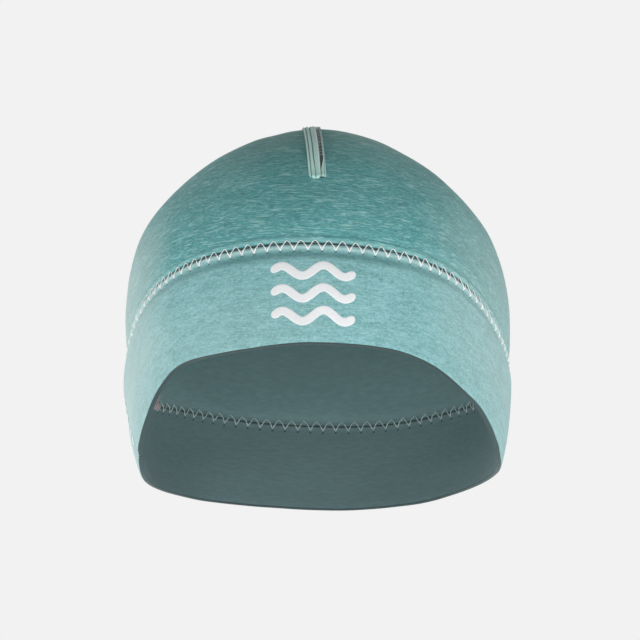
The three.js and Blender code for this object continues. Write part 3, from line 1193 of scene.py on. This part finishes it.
def print_material(colour):
    g = Graph("front_print")
    x, y, z = g.millimetres()
    specks = g.noise(x * 1.6, y * 1.6, z * 1.6, 1.0)
    tint = g.mix(specks.between(0.4, 0.8), colour, toned(colour, 0.93))
    return g.surface({"Base Color": tint, "Roughness": 0.55}, specks, 0.05)


def floor_material(brightness):
    g = Graph("studio_floor")
    light = g.node("ShaderNodeEmission", {}, {"Color": (brightness, brightness, brightness, 1.0)})
    g.node("ShaderNodeOutputMaterial", {}, {"Surface": light}, output=None)
    return g.material


# Studio

PHOTO = {
    "distance": 2.5,
    "pixels_per_mm": 2.37,
    "below": 22.5,
    "turned": -1.83,
    "origin_x": 316.5,
    "origin_y": 349.1,
}
FLOOR_DEPTH = 3.3
FLOOR_RADIUS = 12.0
PALE_UP_TO = 0.14
DIM_FROM = 0.5
SOFTBOX_SPREAD = 70
# Each softbox, with the way that its light goes.
SOFTBOXES = {"left": (1.0, -0.4, 0.65), "right": (-1.0, 0.4, 0.6), "front": (0.0, 1.0, 0.25)}


def make_camera(cap):
    """The camera stands in front of the cap, well below its band, and looks up into the opening."""
    below = math.radians(PHOTO["below"])
    turned = math.radians(PHOTO["turned"])
    origin = cap.tipped((0, 0, 0))
    level_x, level_y, level_z = ((cap.tipped(axis) - origin).normalized() for axis in Matrix.Identity(3))
    right = level_x * math.cos(turned) - level_y * math.sin(turned)
    ahead = level_x * math.sin(turned) + level_y * math.cos(turned)
    forward = ahead * math.cos(below) + level_z * math.sin(below)
    place = origin - forward * PHOTO["distance"]
    up = right.cross(forward)
    per_pixel = MM / PHOTO["pixels_per_mm"]
    aim = origin + right * (IMAGE_SIZE / 2 - PHOTO["origin_x"]) * per_pixel
    aim += up * (PHOTO["origin_y"] - IMAGE_SIZE / 2) * per_pixel
    forward = (aim - place).normalized()
    right = forward.cross(up).normalized()
    up = right.cross(forward)
    data = bpy.data.cameras.new("camera")
    data.sensor_width = 36.0
    data.lens = data.sensor_width * PHOTO["distance"] / (IMAGE_SIZE * per_pixel)
    camera = bpy.data.objects.new("camera", data)
    camera.matrix_world = Matrix.Translation(place) @ Matrix((right, up, -forward)).transposed().to_4x4()
    bpy.context.scene.collection.objects.link(camera)
    bpy.context.scene.camera = camera


def make_world(studio):
    """An even pale surround, dimmer overhead."""
    world = bpy.data.worlds.new("studio")
    world.use_nodes = True
    tree = world.node_tree
    tree.nodes.clear()
    place = tree.nodes.new("ShaderNodeTexCoord")
    split = tree.nodes.new("ShaderNodeSeparateXYZ")
    ramp = tree.nodes.new("ShaderNodeValToRGB")
    background = tree.nodes.new("ShaderNodeBackground")
    output = tree.nodes.new("ShaderNodeOutputWorld")
    tree.links.new(place.outputs["Generated"], split.inputs[0])
    tree.links.new(split.outputs["Z"], ramp.inputs[0])
    tree.links.new(ramp.outputs[0], background.inputs[0])
    tree.links.new(background.outputs[0], output.inputs[0])
    stops = ((PALE_UP_TO, studio.backdrop), (DIM_FROM, studio.overhead))
    for stop, (position, brightness) in zip(ramp.color_ramp.elements, stops):
        stop.position = position
        stop.color = (brightness, brightness, brightness, 1.0)
    bpy.context.scene.world = world


def softbox(name, towards, strength):
    data = bpy.data.lights.new(name, "SUN")
    data.energy = strength
    data.angle = math.radians(SOFTBOX_SPREAD)
    obj = bpy.data.objects.new(name, data)
    obj.rotation_mode = "QUATERNION"
    obj.rotation_quaternion = Vector(towards).to_track_quat("-Z", "Y")
    bpy.context.scene.collection.objects.link(obj)


def make_floor(brightness):
    bm = bmesh.new()
    bmesh.ops.create_circle(bm, cap_ends=True, segments=96, radius=FLOOR_RADIUS)
    bmesh.ops.translate(bm, verts=bm.verts, vec=(0, 0, -FLOOR_DEPTH))
    build("studio_floor", bm, floor_material(brightness))


# Operators


def settle(obj, node=None):
    """The piece rides on the cap's body, and stands for a node if given."""
    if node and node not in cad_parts:
        raise RuntimeError(f"{obj.name}: the frame has no node {node}")
    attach(obj, BODY)
    if node:
        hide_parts(node)


class BEANIE_OT_studio(bpy.types.Operator):
    """Makes the pale floor, the surround, the softboxes and the camera"""

    bl_idname = "beanie.studio"
    bl_label = "Studio"

    def execute(self, context):
        studio = context.scene.beanie_studio
        make_camera(Cap(context.scene.beanie_sizes))
        make_floor(studio.backdrop)
        make_world(studio)
        for side, towards in SOFTBOXES.items():
            softbox(f"{side}_softbox", towards, getattr(studio, f"{side}_light"))
        context.scene.view_settings.view_transform = "Standard"
        return {"FINISHED"}


class BEANIE_OT_crown(bpy.types.Operator):
    """Makes the crown's cloth"""

    bl_idname = "beanie.crown"
    bl_label = "Crown"

    def execute(self, context):
        colours = context.scene.beanie_colours
        material = jersey("crown_jersey", CROWN_KNIT, colours.mid_yarn, colours)
        crown = build("crown_cloth", make_crown(Cap(context.scene.beanie_sizes)), material)
        settle(crown, "crown")
        return {"FINISHED"}


class BEANIE_OT_band(bpy.types.Operator):
    """Makes the band's cloth"""

    bl_idname = "beanie.band"
    bl_label = "Band"

    def execute(self, context):
        colours = context.scene.beanie_colours
        material = jersey("band_jersey", BAND_KNIT, colours.pale_yarn, colours)
        band = build("band_cloth", make_band(Cap(context.scene.beanie_sizes)), material)
        settle(band, "band")
        return {"FINISHED"}


class BEANIE_OT_tape(bpy.types.Operator):
    """Makes the ribbed tape over the crown's middle seam"""

    bl_idname = "beanie.tape"
    bl_label = "Tape"

    def execute(self, context):
        material = tape_material(context.scene.beanie_colours)
        tape = build("crown_tape_knit", make_tape(Cap(context.scene.beanie_sizes)), material)
        settle(tape, "crown_tape")
        return {"FINISHED"}


class BEANIE_OT_stitches(bpy.types.Operator):
    """Makes the threads of the seams, outside and inside"""

    bl_idname = "beanie.stitches"
    bl_label = "Stitches"

    def execute(self, context):
        cap = Cap(context.scene.beanie_sizes)
        colours = context.scene.beanie_colours
        white = thread_material("white_thread", colours.white_thread)
        grey = thread_material("grey_thread", colours.grey_thread)
        pinkish = thread_material("end_thread", colours.end_thread)
        pieces = (
            thread("seam_zigzag_outside", [zigzag(cap, False)], white, cyclic=True),
            thread("seam_zigzag_inside", [zigzag(cap, True)], grey, cyclic=True),
            thread("closing_stitches_outside", [closing_zigzag(cap, False)], white),
            thread("closing_stitches_inside", [closing_zigzag(cap, True)], grey),
            thread("thread_end_inside", [knot(cap)], pinkish),
        )
        for piece in pieces:
            settle(piece)
        settle(thread("tape_slit_stitches", slit_stitches(cap), grey))
        return {"FINISHED"}


class BEANIE_OT_print(bpy.types.Operator):
    """Makes the plain wave lines on the band's front"""

    bl_idname = "beanie.front_print"
    bl_label = "Front print"

    def execute(self, context):
        material = print_material(context.scene.beanie_colours.front_print)
        waves = build("front_waves", make_print(Cap(context.scene.beanie_sizes)), material)
        settle(waves)
        return {"FINISHED"}


STEPS = (
    BEANIE_OT_studio,
    BEANIE_OT_crown,
    BEANIE_OT_band,
    BEANIE_OT_tape,
    BEANIE_OT_stitches,
    BEANIE_OT_print,
)
GROUPS = {"beanie_sizes": BeanieSizes, "beanie_colours": BeanieColours, "beanie_studio": BeanieStudio}


class VIEW3D_PT_beanie(bpy.types.Panel):
    """Sizes, colours, light and steps of the beanie"""

    bl_label = "Neoprene beanie"
    bl_space_type = "VIEW_3D"
    bl_region_type = "UI"
    bl_category = "Beanie"

    def draw(self, context):
        for name, group in GROUPS.items():
            box = self.layout.box()
            for value in group.__annotations__:
                box.prop(getattr(context.scene, name), value)
        for step in STEPS:
            self.layout.operator(step.bl_idname)


def register():
    for group in GROUPS.values():
        bpy.utils.register_class(group)
    for name, group in GROUPS.items():
        setattr(bpy.types.Scene, name, PointerProperty(type=group))
    for cls in (*STEPS, VIEW3D_PT_beanie):
        bpy.utils.register_class(cls)


def unregister():
    for cls in (VIEW3D_PT_beanie, *reversed(STEPS)):
        bpy.utils.unregister_class(cls)
    for name, group in GROUPS.items():
        delattr(bpy.types.Scene, name)
        bpy.utils.unregister_class(group)


def main():
    register()
    bpy.ops.beanie.studio()
    bpy.ops.beanie.crown()
    bpy.ops.beanie.band()
    bpy.ops.beanie.tape()
    bpy.ops.beanie.stitches()
    bpy.ops.beanie.front_print()


if __name__ == "__main__":
    main()
